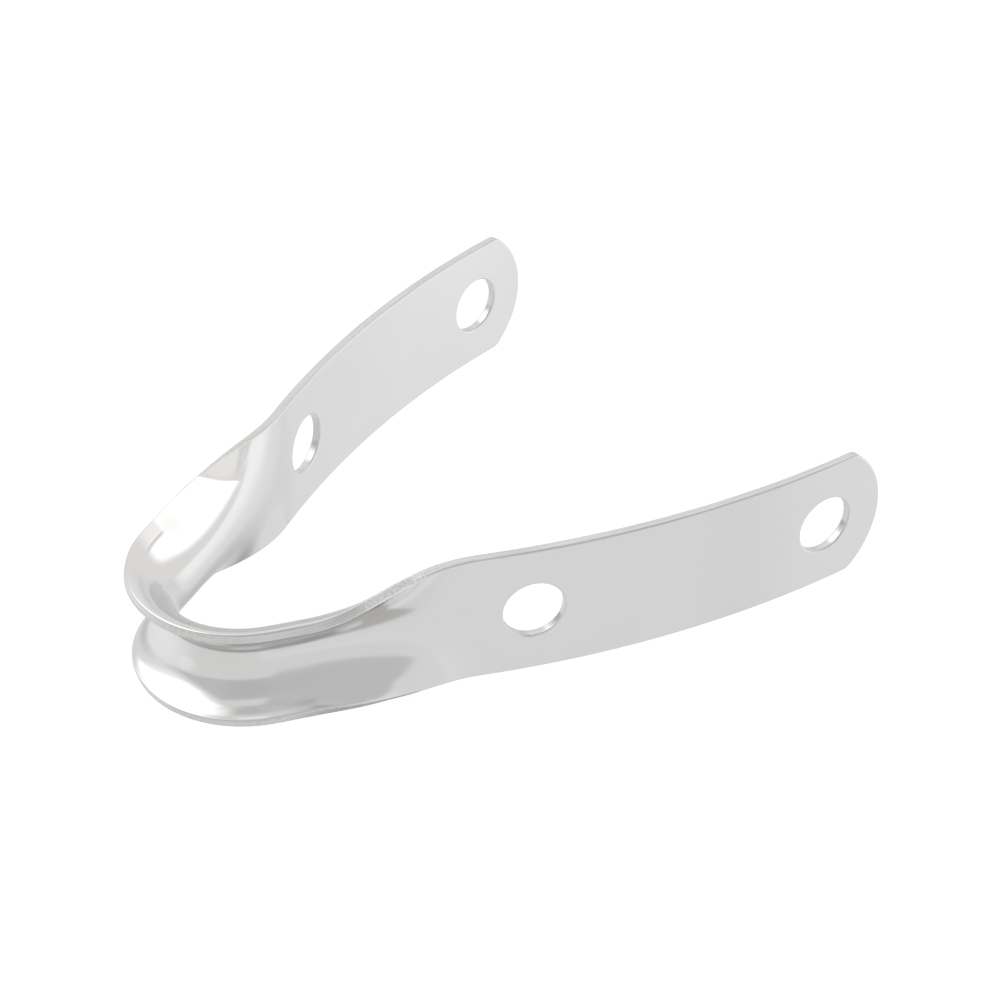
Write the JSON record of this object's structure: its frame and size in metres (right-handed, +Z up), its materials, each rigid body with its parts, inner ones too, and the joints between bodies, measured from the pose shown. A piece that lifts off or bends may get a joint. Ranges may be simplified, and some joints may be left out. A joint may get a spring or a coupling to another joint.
{
  "type": "stem head fairlead",
  "caption": "V-shaped stainless strap fairlead for a small boat's stem, with a bell-mouthed rope loop at the nose and round screw holes in both arms.",
  "frame": {"origin": "under the middle of the strap's bounding box, level with its lower edges", "axes": "-Y forward, towards the nose of the loop; +Y aft, along the arms; +X to port; +Z up, across the strip"},
  "size_m": [0.0502, 0.0626, 0.0127],
  "materials": {
    "stainless": "polished stainless steel with a fine satin grain"
  },
  "bodies": {
    "root": {"fairlead_strap": "stainless"}
  },
  "joints": []
}
